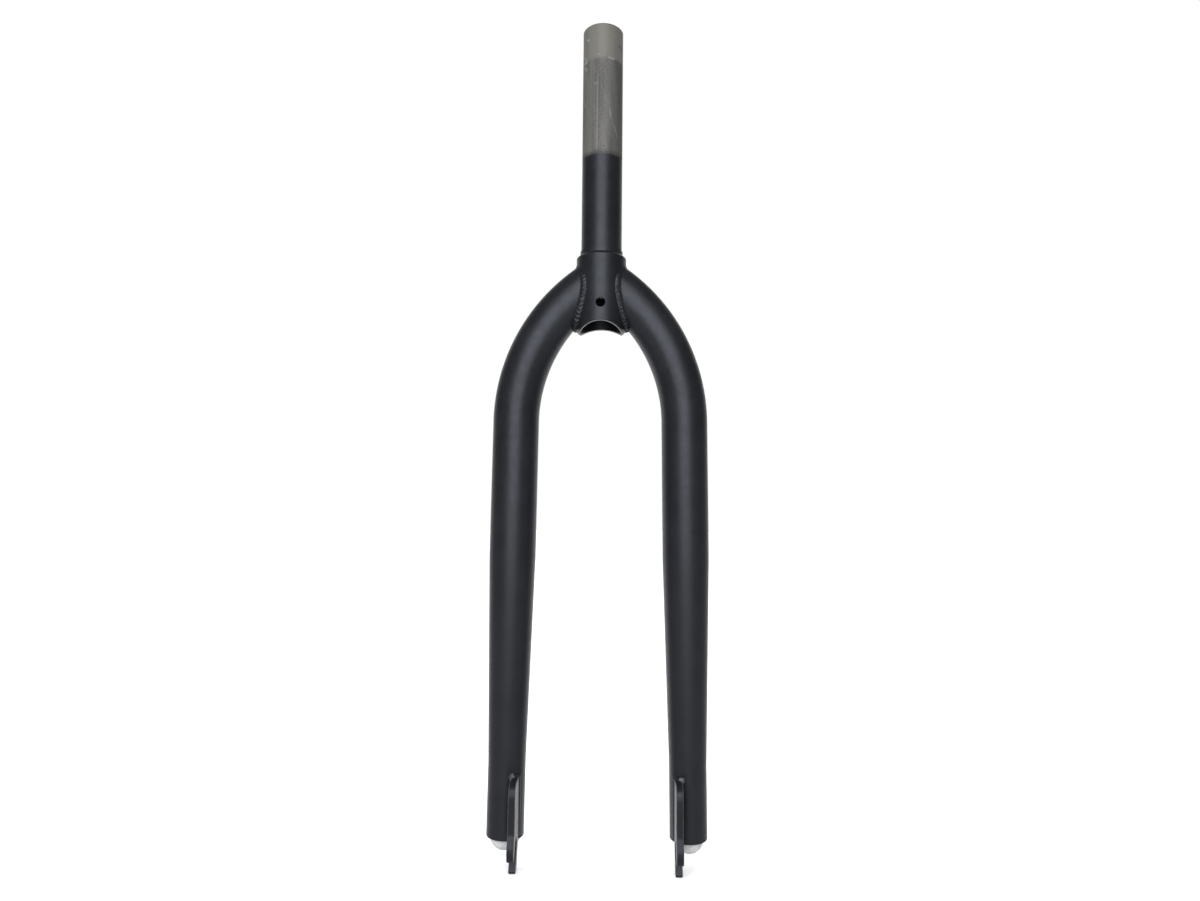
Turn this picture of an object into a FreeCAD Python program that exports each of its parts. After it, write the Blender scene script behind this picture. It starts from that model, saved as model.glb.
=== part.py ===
"""Rigid bicycle fork in welded steel tube, millimetres.

The steering axis is Z and points up, the origin is on that axis at the top of the crown race seat,
and the front of the fork faces -Y.  The rider's left is +X.
"""
import FreeCAD, Part
import math
import os

V = FreeCAD.Vector

# Steerer, crown race seat and crown body, turned as one piece
STEERER_D = 28.6              # 1 1/8 inch threadless steerer
STEERER_LENGTH = 161.2        # above the race seat
STEERER_WALL = 1.8
STEERER_END_CHAMFER = 0.5
RACE_SEAT_STEP = 0.7          # radial step from the steerer to the race seat
RACE_SEAT_HEIGHT = 3.0
CROWN_SHOULDER = 2.5          # radial step from the race seat to the crown body
CROWN_BEVEL = 2.2
CROWN_WALL = 2.9
CROWN_BORE_ROOF = 8.0         # solid shoulder below the race seat, before the wider bore
CROWN_LENGTH = 58.2           # from the race seat down to the tips of the arch
CROWN_FOOT_BEVEL = 1.6        # outside, at the tips
ARCH_R = 20.8                 # tyre arch cut through the bottom of the crown, front to back
ARCH_RISE = 6.2               # height of the arch above the tips
ARCH_EDGE_R = 0.5             # rounding of the arch's outer edges
BRAKE_HOLE_D = 6.5
BRAKE_HOLE_DROP = 39.7        # below the race seat
BRAKE_HOLE_EDGE_R = 0.3

# Legs, bent and tapered round tube, pressed flatter where they meet the crown
LEG_D = 31.8                  # 1 1/4 inch
LEG_FOOT_D = 25.4             # 1 inch
LEG_WALL = 2.0
LEG_CROWN_DEPTH = 25.8        # front to back at the crown
LEG_FLAT_LENGTH = 85.0        # over which the flat crown end turns round again
LEG_BEND_R = 120.0            # of the centre line
LEG_JOIN_DROP = 31.5          # below the race seat, where the centre line enters the crown
LEG_SPLAY_DEG = 0.65
LEG_FOOT_DROP = 401.3         # below the race seat
LEG_FOOT_LENGTH = 48.0        # parallel tube above the foot
LEG_TAPER_LENGTH = 138.0
LEG_ROOT_X = 5.8              # how far inside the crown the bend is drawn before it is mitred
LEG_BEND_SECTIONS = 9         # ovals that the bend is lofted through

# Dropouts, flat plate welded to the inner front of each foot
HUB_SPACING = 103.6           # between the inner faces of the two plates, before a hub draws them in
DROPOUT_T = 4.7
DROPOUT_INSET = 2.5           # inner face, outwards from the inner side of the leg
DROPOUT_EDGE_R = 0.6          # rounding of the plate's rims
DROPOUT_TOP_RISE = 40.3       # upper end above the axle
DROPOUT_TOP_REACH = 26.5      # upper end in front of the steering axis
DROPOUT_TOP_R = 6.0
AXLE_RAKE = 21.5              # axle in front of the steering axis
AXLE_RISE = 1.0               # axle above the end of the leg
AXLE_SLOT_W = 10.0            # for a 3/8 inch axle
AXLE_SLOT_TILT_DEG = 22.0     # the slot opens downwards and this far forwards
FRONT_ARM_W = 6.6             # metal in front of the slot
REAR_ARM_W = 6.0              # metal behind the slot
REAR_ARM_DROP = 17.5          # tip of the rear arm below the axle
ARM_TIP_R = 1.4

# Weld beads
CROWN_WELD_LEG = 2.6          # foot of the bead on each side of the seam
CROWN_WELD_FILL = 0.8         # added to the foot under the crown
CROWN_WELD_BULGE = 0.9
CROWN_WELD_HOLLOW = 0.4       # the bead is a hollow fillet on top of the leg
WELD_RIPPLE = 2.4             # pitch along the seam
WELD_RIPPLE_DEPTH = 0.4
WELD_SEAT_GAP = 0.15          # keeps the bead off the curved walls it lies on
DROPOUT_WELD_INNER_R = 1.0
DROPOUT_WELD_TOP_R = 1.5
DROPOUT_WELD_OUTER_R = 1.6
DROPOUT_WELD_END_R = 2.4      # blob at the upper outer corner of the plate
SEAM_SAMPLES = 240            # points tried along a seam
SEAM_HALVINGS = 40            # steps of the search for each of them

# Plugs in the open feet of the legs
PLUG_CLEARANCE = 0.1          # radial, in the tube
PLUG_DEPTH = 14.0
PLUG_DOME_GAP = 0.4           # radial, from the bore to the dome

# Sizes that follow from the ones above
STEERER_R = STEERER_D / 2
RACE_SEAT_R = STEERER_R + RACE_SEAT_STEP
CROWN_R = RACE_SEAT_R + CROWN_SHOULDER
LEG_R = LEG_D / 2
FOOT_R = LEG_FOOT_D / 2
HUB_FACE_X = HUB_SPACING / 2
FOOT_POINT = V(HUB_FACE_X - DROPOUT_INSET + FOOT_R, 0, -LEG_FOOT_DROP)
SPLAY = math.radians(LEG_SPLAY_DEG)
LEG_UP = V(-math.sin(SPLAY), 0, math.cos(SPLAY))
LEG_INWARD = V(-math.cos(SPLAY), 0, -math.sin(SPLAY))
AXLE_Z = -LEG_FOOT_DROP + AXLE_RISE
ORIGIN = V(0, 0, 0)
AXIS_X = V(1, 0, 0)
AXIS_Y = V(0, 1, 0)
AXIS_Z = V(0, 0, 1)


def straight_length():
    """Length of the straight leg, so that the bend above it enters the crown at the join height."""
    join = V(CROWN_R, 0, -LEG_JOIN_DROP)
    offset = FOOT_POINT + LEG_INWARD * LEG_BEND_R - join
    along = offset.dot(LEG_UP)
    return -along - math.sqrt(along ** 2 - offset.dot(offset) + LEG_BEND_R ** 2)


LEG_STRAIGHT = straight_length()
BEND_END = FOOT_POINT + LEG_UP * LEG_STRAIGHT
BEND_CENTRE = BEND_END + LEG_INWARD * LEG_BEND_R
ROOT_ANGLE = math.acos((LEG_ROOT_X - BEND_CENTRE.x) / LEG_BEND_R) - SPLAY


def steerer():
    """Turned steerer with the race seat, the crown body, the tyre arch and the brake hole."""
    bore_r = STEERER_R - STEERER_WALL
    crown_bore_r = CROWN_R - CROWN_WALL
    shoulder_z = -RACE_SEAT_HEIGHT
    outline = [
        (bore_r, -CROWN_BORE_ROOF),
        (bore_r, STEERER_LENGTH - STEERER_END_CHAMFER),
        (bore_r + STEERER_END_CHAMFER, STEERER_LENGTH),
        (STEERER_R - STEERER_END_CHAMFER, STEERER_LENGTH),
        (STEERER_R, STEERER_LENGTH - STEERER_END_CHAMFER),
        (STEERER_R, 0),
        (RACE_SEAT_R, 0),
        (RACE_SEAT_R, shoulder_z),
        (CROWN_R - CROWN_BEVEL, shoulder_z),
        (CROWN_R, shoulder_z - CROWN_BEVEL),
        (CROWN_R, -CROWN_LENGTH + CROWN_FOOT_BEVEL),
        (CROWN_R - CROWN_FOOT_BEVEL, -CROWN_LENGTH),
        (crown_bore_r, -CROWN_LENGTH),
        (crown_bore_r, -CROWN_BORE_ROOF - abs(crown_bore_r - bore_r)),
    ]
    points = [V(r, 0, z) for r, z in outline]
    profile = Part.Face(Part.makePolygon(points + points[:1]))
    turned = profile.revolve(ORIGIN, AXIS_Z, 360)
    arch_z = -CROWN_LENGTH + ARCH_RISE - ARCH_R
    arch = Part.makeCylinder(ARCH_R, 4 * CROWN_R, V(0, -2 * CROWN_R, arch_z), AXIS_Y)
    hole_start = V(0, -2 * CROWN_R, -BRAKE_HOLE_DROP)
    hole = Part.makeCylinder(BRAKE_HOLE_D / 2, 4 * CROWN_R, hole_start, AXIS_Y)
    body = turned.cut(arch).cut(hole)
    body = round_rims(body, arch_z, ARCH_R, ARCH_EDGE_R)
    return round_rims(body, -BRAKE_HOLE_DROP, BRAKE_HOLE_D / 2, BRAKE_HOLE_EDGE_R)


def round_rims(body, axis_z, cut_r, radius):
    """Round the edges that a cut along Y leaves in the outside of the crown body."""
    rims = []
    for edge in body.Edges:
        points = edge.discretize(5)
        on_wall = all(abs(math.hypot(p.x, p.y) - CROWN_R) < radius / 10 for p in points)
        if on_wall and all(abs(math.hypot(p.x, p.z - axis_z) - cut_r) < radius / 10 for p in points):
            rims.append(edge)
    return body.makeFillet(radius, rims)


def crown_envelope():
    """Plain cylinder that mitres the legs to the outside of the crown body."""
    height = 2 * CROWN_LENGTH
    return Part.makeCylinder(CROWN_R, height, V(0, 0, -height), AXIS_Z)


def bend_frame(angle):
    """Centre-line point and outward direction of the bend, at an angle up from the straight leg."""
    outward = LEG_UP * math.sin(angle) - LEG_INWARD * math.cos(angle)
    return BEND_CENTRE + outward * LEG_BEND_R, outward


def bend_radii(angle, inset):
    """Half width across the bend and half depth front to back, inset from the outside of the tube."""
    share = min(1.0, (ROOT_ANGLE - angle) * LEG_BEND_R / LEG_FLAT_LENGTH)
    share = share * share * (3 - 2 * share)
    depth = LEG_CROWN_DEPTH + (LEG_D - LEG_CROWN_DEPTH) * share
    return LEG_R - inset, depth / 2 - inset


def bend_section(angle, inset):
    """Oval wire across the bend."""
    centre, outward = bend_frame(angle)
    width_r, depth_r = bend_radii(angle, inset)
    columns = (outward * width_r, AXIS_Y * depth_r, outward.cross(AXIS_Y), centre)
    stretch = FreeCAD.Matrix(*[getattr(column, row) for row in "xyz" for column in columns])
    return Part.Wire(Part.Circle().toShape().transformGeometry(stretch))


def tube(low, high, low_r, high_r):
    """Round stretch of the straight leg between two heights above the foot."""
    base = FOOT_POINT + LEG_UP * low
    if low_r == high_r:
        return Part.makeCylinder(low_r, high - low, base, LEG_UP)
    return Part.makeCone(low_r, high_r, high - low, base, LEG_UP)


def leg_blank_solid(inset):
    """Whole left leg from inside the crown to the foot, inset from the outside of the tube."""
    steps = LEG_BEND_SECTIONS - 1
    angles = [ROOT_ANGLE * (1 - step / steps) for step in range(LEG_BEND_SECTIONS)]
    bend = Part.makeLoft([bend_section(angle, inset) for angle in angles], True)
    taper_top = LEG_FOOT_LENGTH + LEG_TAPER_LENGTH
    upper = tube(taper_top, LEG_STRAIGHT, LEG_R - inset, LEG_R - inset)
    taper = tube(LEG_FOOT_LENGTH, taper_top, FOOT_R - inset, LEG_R - inset)
    foot = tube(0, LEG_FOOT_LENGTH, FOOT_R - inset, FOOT_R - inset)
    return bend.fuse([upper, taper, foot]).removeSplitter()


def hollow(outside, inside):
    """Open tube between two blanks that end in the same planes."""
    def is_end(face):
        return isinstance(face.Surface, Part.Plane)

    faces = [face for face in outside.Faces if not is_end(face)]
    faces += [face.reversed() for face in inside.Faces if not is_end(face)]
    for end in filter(is_end, outside.Faces):
        faces.append(end.cut([face for face in inside.Faces if is_end(face)]).Faces[0])
    return Part.makeSolid(Part.makeShell(faces))


def leg_surface(angle, turn):
    """Point on the outside of the bend, at an angle along it and a turn round its section."""
    centre, outward = bend_frame(angle)
    width_r, depth_r = bend_radii(angle, 0)
    return centre + outward * (width_r * math.cos(turn)) + AXIS_Y * (depth_r * math.sin(turn))


def seam_angle(turn):
    """Angle along the bend at which the outside of the leg reaches the crown body."""
    low, high = 0.0, ROOT_ANGLE
    for _ in range(SEAM_HALVINGS):
        middle = (low + high) / 2
        point = leg_surface(middle, turn)
        if math.hypot(point.x, point.y) > CROWN_R:
            low = middle
        else:
            high = middle
    return low


def seam_point(turn):
    """Point of the seam between the leg and the crown body."""
    return leg_surface(seam_angle(turn), turn)


def ripple_turns():
    """Turns round the leg at the crests and hollows of the bead, evenly spaced along the seam."""
    turns = [2 * math.pi * step / SEAM_SAMPLES for step in range(SEAM_SAMPLES + 1)]
    points = [seam_point(turn) for turn in turns]
    run = [0.0]
    for before, after in zip(points, points[1:]):
        run.append(run[-1] + (after - before).Length)
    count = 2 * round(run[-1] / WELD_RIPPLE)
    even = []
    for step in range(count):
        goal = run[-1] * step / count
        index = max(i for i, length in enumerate(run) if length <= goal)
        share = (goal - run[index]) / (run[index + 1] - run[index])
        even.append(turns[index] + (turns[index + 1] - turns[index]) * share)
    return even


def bead_section(turn, hollow_depth):
    """Bead across the seam: one foot on the leg, one on the crown body, and a curved face.

    A turn of 0 is on top of the leg, where the bead is a smooth fillet, and half a turn is below it.
    """
    top = max(0.0, math.cos(turn)) ** 2
    foot = CROWN_WELD_LEG + CROWN_WELD_FILL * max(0.0, -math.cos(turn)) ** 2
    bulge = (CROWN_WELD_BULGE - hollow_depth) * (1 - top) - CROWN_WELD_HOLLOW * top
    angle = seam_angle(turn)
    root = leg_surface(angle, turn)
    step = math.pi / SEAM_SAMPLES
    heading = (seam_point(turn + step) - seam_point(turn - step)).normalize()
    along = leg_surface(angle - step, turn) - root
    across = along - heading * along.dot(heading)
    leg_foot = leg_surface(angle - step * foot / across.Length, turn)
    wall_out = V(root.x, root.y, 0).normalize()
    wall_way = wall_out.cross(heading).normalize()
    round_way = AXIS_Z.cross(wall_out)
    body_turn = math.atan2(root.y, root.x) + foot * wall_way.dot(round_way) / CROWN_R
    body_z = root.z + foot * wall_way.z
    body_foot = V(CROWN_R * math.cos(body_turn), CROWN_R * math.sin(body_turn), body_z)
    middle = (leg_foot + body_foot) / 2
    out = (middle - root).normalize()
    lift = out * WELD_SEAT_GAP
    face = Part.Arc(leg_foot + lift, middle + lift + out * bulge, body_foot + lift)
    corners = Part.makePolygon([body_foot + lift, root + lift, leg_foot + lift])
    return Part.Wire([face.toShape()] + corners.Edges)


def crown_weld():
    """Rippled bead along the seam between the leg and the crown body."""
    depths = (0.0, WELD_RIPPLE_DEPTH)
    sections = [bead_section(turn, depths[i % 2]) for i, turn in enumerate(ripple_turns())]
    return Part.makeLoft(sections + sections[:1], True, True)


def plate_point(forward, height, x):
    """Point of the dropout, from its distance in front of the steering axis and its height."""
    return V(x, -forward, height)


def dropout(leg_blank):
    """Left dropout plate: bowed front edge, boss round the axle, and a slot between two arms."""
    x = HUB_FACE_X
    tilt = math.radians(AXLE_SLOT_TILT_DEG)
    axle = plate_point(AXLE_RAKE, AXLE_Z, x)
    down = plate_point(math.sin(tilt), -math.cos(tilt), 0)
    ahead = plate_point(math.cos(tilt), math.sin(tilt), 0)
    slot_r = AXLE_SLOT_W / 2
    boss_r = slot_r + FRONT_ARM_W
    top_front = plate_point(DROPOUT_TOP_REACH, AXLE_Z + DROPOUT_TOP_RISE, x)
    top_back = V(x, 0, top_front.z)

    def on_boss(turn):
        return axle + plate_point(math.cos(turn), math.sin(turn), 0) * boss_r

    def along_slot(point, goal):
        """Point at a height, on a line along the slot."""
        return point + down * ((goal - point.z) / down.z)

    tip_turn = -math.pi / 2 + tilt + math.asin(slot_r / boss_r)
    nose = on_boss(0)
    boss_mid = on_boss(tip_turn / 2)
    front_tip = on_boss(tip_turn)
    chord = top_front - nose
    bow_r = chord.Length ** 2 / (2 * chord.y)
    bow_turn = math.asin(chord.z / bow_r) / 2
    bow_mid = nose + AXIS_Y * bow_r + plate_point(math.cos(bow_turn), math.sin(bow_turn), 0) * bow_r
    front_wall = axle + ahead * slot_r
    slot_roof = axle - down * slot_r
    rear_wall = axle - ahead * slot_r
    arm_back = axle - ahead * (slot_r + REAR_ARM_W)
    rear_tip = along_slot(rear_wall, AXLE_Z - REAR_ARM_DROP)
    arm_foot = along_slot(arm_back, AXLE_Z - REAR_ARM_DROP)
    heel = arm_back - down * (arm_back.y / down.y)
    edges = [
        Part.LineSegment(top_back, top_front),
        Part.Arc(top_front, bow_mid, nose),
        Part.Arc(nose, boss_mid, front_tip),
        Part.LineSegment(front_tip, front_wall),
        Part.Arc(front_wall, slot_roof, rear_wall),
        Part.LineSegment(rear_wall, rear_tip),
        Part.LineSegment(rear_tip, arm_foot),
        Part.LineSegment(arm_foot, heel),
        Part.LineSegment(heel, top_back),
    ]
    outline = Part.Wire([edge.toShape() for edge in edges])
    plate = Part.Face(outline).extrude(AXIS_X * DROPOUT_T)
    plate = round_across(plate, [front_tip, rear_tip, arm_foot], ARM_TIP_R)
    plate = round_across(plate, [top_front], DROPOUT_TOP_R)
    rims = [edge for edge in plate.Edges if edge.BoundBox.XLength < DROPOUT_EDGE_R]
    return plate.makeFillet(DROPOUT_EDGE_R, rims).cut(leg_blank)


def round_across(plate, corners, radius):
    """Round the plate's corner edges, which run through its thickness at the given points."""
    chosen = []
    for edge in plate.Edges:
        across = edge.BoundBox.XLength > DROPOUT_T / 2
        if across and any(edge.distToShape(Part.Vertex(c))[0] < radius / 10 for c in corners):
            chosen.append(edge)
    return plate.makeFillet(radius, chosen)


def dropout_weld(plate, leg_blank):
    """Bead up one side of the plate, over its top and down the other side."""
    top_z = AXLE_Z + DROPOUT_TOP_RISE
    low_z = -LEG_FOOT_DROP + 2 * DROPOUT_WELD_OUTER_R
    faces_x = (HUB_FACE_X, HUB_FACE_X + DROPOUT_T)

    def on_leg(x, z):
        axis = FOOT_POINT + LEG_UP * ((z - FOOT_POINT.z) / LEG_UP.z)
        return V(x, -math.sqrt(FOOT_R ** 2 - (axis.x - x) ** 2), z)

    inner_low, outer_low = [on_leg(x, low_z) for x in faces_x]
    inner_top, outer_top = [on_leg(x, top_z) for x in faces_x]
    middle_top = on_leg(sum(faces_x) / 2, top_z)
    runs = [
        (DROPOUT_WELD_INNER_R, inner_low, inner_top),
        (DROPOUT_WELD_TOP_R, inner_top, middle_top),
        (DROPOUT_WELD_TOP_R, middle_top, outer_top),
        (DROPOUT_WELD_OUTER_R, outer_top, outer_low),
    ]
    pieces = [Part.makeSphere(DROPOUT_WELD_END_R, outer_top)]
    for radius, start, end in runs:
        pieces.append(Part.makeCylinder(radius, (end - start).Length, start, end - start))
        pieces += [Part.makeSphere(radius, start), Part.makeSphere(radius, end)]
    bead = pieces[0].fuse(pieces[1:])
    return bead.cut(leg_blank).cut(plate)


def leg_plug():
    """Plug in the foot of the leg, with a domed end below it."""
    bore_r = FOOT_R - LEG_WALL
    stem = Part.makeCylinder(bore_r - PLUG_CLEARANCE, PLUG_DEPTH, FOOT_POINT, LEG_UP)
    dome = Part.makeSphere(bore_r - PLUG_DOME_GAP, FOOT_POINT, LEG_UP, -90, 0, 360)
    return stem.fuse(dome)


def export(name, shape):
    """Write one piece, after making sure that it is a single sound solid."""
    solids = shape.Solids
    if len(solids) != 1 or not solids[0].isValid():
        raise ValueError("%s: %d solids, or not a sound one" % (name, len(solids)))
    solids[0].exportStep("parts/%s.step" % name)
    print("%-20s %10.1f mm3 %4d faces" % (name, solids[0].Volume, len(solids[0].Faces)))


def main():
    os.makedirs("parts", exist_ok=True)
    export("steerer_tube", steerer())
    leg_blank = leg_blank_solid(0)
    plate = dropout(leg_blank)
    left_pieces = {
        "leg": hollow(leg_blank, leg_blank_solid(LEG_WALL)).cut(crown_envelope()),
        "crown_weld": crown_weld(),
        "dropout": plate,
        "dropout_weld": dropout_weld(plate, leg_blank),
        "leg_plug": leg_plug(),
    }
    for name, piece in left_pieces.items():
        export("left_" + name, piece)
        export("right_" + name, piece.mirror(ORIGIN, AXIS_X))


main()
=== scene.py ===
"""Welded bicycle fork, painted satin black, with a bare steel steerer end, on a pale studio floor."""
import math

import bmesh
import bpy
from mathutils import Matrix, Vector, noise


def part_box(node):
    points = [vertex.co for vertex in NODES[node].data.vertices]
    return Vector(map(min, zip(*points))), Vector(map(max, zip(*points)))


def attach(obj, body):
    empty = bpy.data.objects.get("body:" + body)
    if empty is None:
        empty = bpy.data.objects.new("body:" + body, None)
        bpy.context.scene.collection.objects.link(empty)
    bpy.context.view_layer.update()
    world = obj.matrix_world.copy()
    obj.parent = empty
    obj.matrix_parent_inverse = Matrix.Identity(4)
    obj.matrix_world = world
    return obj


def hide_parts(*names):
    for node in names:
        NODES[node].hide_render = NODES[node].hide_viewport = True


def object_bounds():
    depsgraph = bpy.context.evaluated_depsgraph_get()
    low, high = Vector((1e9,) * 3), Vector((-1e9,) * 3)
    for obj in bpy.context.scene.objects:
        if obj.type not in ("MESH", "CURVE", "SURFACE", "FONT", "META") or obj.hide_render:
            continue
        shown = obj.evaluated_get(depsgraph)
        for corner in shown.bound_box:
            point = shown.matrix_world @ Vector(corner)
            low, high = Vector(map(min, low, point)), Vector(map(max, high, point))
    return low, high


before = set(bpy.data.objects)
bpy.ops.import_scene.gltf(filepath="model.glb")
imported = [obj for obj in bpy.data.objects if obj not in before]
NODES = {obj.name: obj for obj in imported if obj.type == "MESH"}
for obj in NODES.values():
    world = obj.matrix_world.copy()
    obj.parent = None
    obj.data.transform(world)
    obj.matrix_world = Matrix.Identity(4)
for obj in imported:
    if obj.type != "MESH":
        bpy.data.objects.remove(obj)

bl_info = {
    "name": "Bicycle Fork",
    "version": (1, 0, 0),
    "blender": (4, 5, 0),
    "location": "3D View > Sidebar > Fork",
    "description": "Dresses a welded bicycle fork in paint, bare steel and weld beads",
    "category": "Object",
}

MM = 0.001
SIDES = ("left", "right")
CAD_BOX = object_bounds()
CROWN_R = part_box("steerer_tube")[1].x
STEERER_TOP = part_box("steerer_tube")[1].z
CROWN_BEVEL = 1.6 * MM
BEVEL_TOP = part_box("steerer_tube")[0].z + CROWN_BEVEL
STANDING_Z = CAD_BOX[0].z

# Values for the meshes
SAME_POINT = 0.001 * MM  # corners nearer to each other than this are one corner
ON_BODY = 0.005 * MM  # corners nearer to the round face of the crown than this lie on it
BEAD_MESH = 0.22 * MM  # spacing of the corners of a bead
BEAD_SOFTENING = 12  # rounds that soften a bead
BEAD_ACROSS = 18  # faces across the top of a crown bead
BEAD_SINK = 0.06 * MM  # how far the feet of a crown bead reach into the metal
PLATE_CUT = 0.75 * MM  # height between two cuts across a plate
PLATE_BLEND = 3 * MM  # height above the straight edge that is cut too
PLATE_SOFTENING = 8  # rounds that soften the new front edge of a plate
PLATE_CREASE = 50  # degrees above which an edge of a plate stays sharp
PLUG_MESH = 0.35 * MM  # spacing of the corners of a plug
PLUG_SOFTENING = 4  # rounds that soften a plug


# Settings
def length(name, description, default):
    """Length property, in metres."""
    return bpy.props.FloatProperty(
        name=name, description=description, default=default, unit="LENGTH", precision=5
    )


def angle(name, description, degrees):
    """Angle property, given in degrees."""
    return bpy.props.FloatProperty(
        name=name, description=description, default=math.radians(degrees), subtype="ANGLE"
    )


def power(name, description, default):
    """Power of a lamp, in watts."""
    return bpy.props.FloatProperty(
        name=name, description=description, default=default, min=0.0, unit="POWER"
    )


def spot(name, description, default):
    """Place in the room, in metres."""
    return bpy.props.FloatVectorProperty(
        name=name, description=description, default=default, subtype="TRANSLATION"
    )


def share(name, description, default):
    """Property from 0 to 1."""
    return bpy.props.FloatProperty(
        name=name, description=description, default=default, min=0.0, max=1.0, subtype="FACTOR"
    )


def colour(name, description, default):
    """Colour property, linear."""
    return bpy.props.FloatVectorProperty(
        name=name, description=description, default=default, min=0.0, max=1.0, subtype="COLOR"
    )


class ForkPaint(bpy.types.PropertyGroup):
    """Satin paint on the tubes, plates and welds."""

    base: colour("Paint colour", "Colour of the satin paint", (0.0072, 0.0076, 0.0086))
    tint: colour("Sheen colour", "Colour of the light that the paint throws back", (0.81, 0.858, 1.0))
    roughness: share("Paint roughness", "How far the paint spreads a highlight", 0.42)
    grain: length("Paint grain", "Size of the fine grain in the paint, a quarter of its dimples", 0.5 * MM)
    plate_sheen: share("Plate sheen", "Strength of the sheen on the thinly painted plates", 0.40)
    # Painted highlight: the lighter colour on the rounded plate edges stands in for their sheen, with thin
    # worn paint there.
    edge_highlight_and_wear: colour("Worn colour", "Colour of the thin paint on the edges of the plates", (0.055, 0.057, 0.062))
    bead_sheen: share("Plate bead sheen", "Strength of the sheen on the thickly painted plate beads", 0.95)


class ForkSteel(bpy.types.PropertyGroup):
    """Bare steel at the top of the steerer."""

    base: colour("Steel colour", "Colour of the bare steel", (0.099, 0.0965, 0.089))
    bright: colour("Rubbed colour", "Colour of scratches and rubbed places", (0.36, 0.37, 0.38))
    roughness: share("Steel roughness", "How far the steel spreads a highlight", 0.60)
    paint_line: length("Paint line", "Height above the race seat where the paint ends", 66.5 * MM)
    paint_ragged: length("Paint line waver", "How far the paint's edge wanders", 1.6 * MM)
    ring_height: length("Cut mark height", "Height of the rubbed ring above the race seat", 135.5 * MM)


class ForkWeld(bpy.types.PropertyGroup):
    """Weld beads between the legs, the crown and the plates."""

    foot: length("Bead foot", "Width of the bead on each side of the seam", 2.6 * MM)
    fill: length("Bead fill", "Added to the foot of the bead under the crown", 0.8 * MM)
    bulge: length("Bead height", "How far the bead rounds out of the corner", 0.9 * MM)
    smooth: length("Smooth drop", "Depth below the race seat where the ripples of the bead begin", 17 * MM)
    pitch: length("Ripple pitch", "Spacing of the ripples along the bead", 2.8 * MM)
    depth: length("Ripple depth", "Depth of the hollow between two ripples", 0.6 * MM)
    start_flat: length("Flattened start", "How far the plate bead's start is flattened", 1.6 * MM)
    start_tilt: angle("Start tilt", "How far the flattened start faces upwards", 24)


class ForkPlate(bpy.types.PropertyGroup):
    """Dropout plates."""

    axle_rise: length("Axle height", "Height of the axle above the lower end of the plate", 17.5 * MM)
    boss_r: length("Boss radius", "Radius of the round boss in front of the axle", 11.6 * MM)
    boss_top: length("Boss top", "Height above the axle where the boss meets the straight edge", 8.4 * MM)
    edge_top: length("Edge top", "Height above the axle where the straight edge ends", 34 * MM)
    edge_depth: length("Edge depth", "Depth of the front edge that moves back as a whole", 0.8 * MM)
    fade: length("Edge fade", "Depth behind the front edge over which the move fades out", 7.2 * MM)


class ForkPlug(bpy.types.PropertyGroup):
    """Plugs in the feet of the legs."""

    base: colour("Plug colour", "Colour of the milky plastic", (0.70, 0.71, 0.73))
    crease: length("Crease depth", "Depth of the soft creases in the dome", 0.35 * MM)


class ForkStage(bpy.types.PropertyGroup):
    """Floor, light and camera."""

    floor: colour("Floor colour", "Colour of the studio floor", (0.93, 0.93, 0.93))
    floor_reach: length("Floor reach", "Distance from the middle of the floor to its edges", 6.0)
    sides: share("Side light", "Brightness of the studio beside the fork", 0.10)
    low: share("Low light", "Brightness of the studio below the fork", 0.55)
    left_wrap: share("Left wrap", "How far the white behind the fork comes round on its left", 0.10)
    front: power("Front light", "Power of the front panel", 17.4)
    front_place: spot("Front place", "Where the front panel hangs", (-0.04, -1.25, 0.31))
    front_aim: spot("Front aim", "Point that the front panel faces", (0.0, 0.0, -0.05))
    front_width: length("Front width", "Width of the front panel", 1.15)
    front_height: length("Front height", "Height of the front panel", 1.34)
    flank: power("Flank light", "Power of the panel on the left", 6.0)
    flank_place: spot("Flank place", "Where the panel on the left hangs", (-1.1, -0.7, 0.3))
    flank_aim: spot("Flank aim", "Point that the panel on the left faces", (0.0, 0.0, 0.0))
    flank_width: length("Flank width", "Width and height of the panel on the left", 0.8)
    above: bpy.props.FloatProperty(
        name="Floor light", description="Strength of the light on the floor", default=3.6, min=0.0
    )
    above_spread: angle("Floor light spread", "How wide the light on the floor is in the sky", 120)
    camera_place: spot("Camera place", "Where the camera stands", (0.01407, -0.5375, -0.17634))
    camera_turn: bpy.props.FloatVectorProperty(
        name="Camera turn",
        description="Pitch, roll and yaw of the camera from looking straight ahead",
        default=(0.0663, 0.0087, 0.0259),
        subtype="EULER",
    )
    lens: bpy.props.FloatProperty(
        name="Lens", description="Focal length on a 36 mm sensor, in mm", default=23.145, unit="CAMERA"
    )


GROUPS = {
    "fork_paint": ForkPaint,
    "fork_steel": ForkSteel,
    "fork_weld": ForkWeld,
    "fork_plate": ForkPlate,
    "fork_plug": ForkPlug,
    "fork_stage": ForkStage,
}


# Node helpers
class Nodes:
    """Node tree being put together."""

    def __init__(self, tree):
        self.tree = tree

    def add(self, kind, values=(), **settings):
        """New node with its settings and its inputs, which are numbers, colours or other sockets."""
        made = self.tree.nodes.new(kind)
        for name, value in settings.items():
            setattr(made, name, value)
        for key, value in dict(values).items():
            self.put(made.inputs[key], value)
        return made

    def put(self, socket, value):
        """Set an input, or link it when the value is a socket."""
        if isinstance(value, bpy.types.NodeSocket):
            self.tree.links.new(value, socket)
        else:
            socket.default_value = value

    def ramp(self, value, low, high, start=0.0, end=1.0):
        """Smooth step of a value from start to end between two limits."""
        values = {"Value": value, "From Min": low, "From Max": high, "To Min": start, "To Max": end}
        return self.add("ShaderNodeMapRange", values, interpolation_type="SMOOTHSTEP").outputs["Result"]

    def math(self, operation, *values):
        """Result of a calculation with values or sockets."""
        made = self.add("ShaderNodeMath", enumerate(values), operation=operation)
        return made.outputs["Value"]


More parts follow.
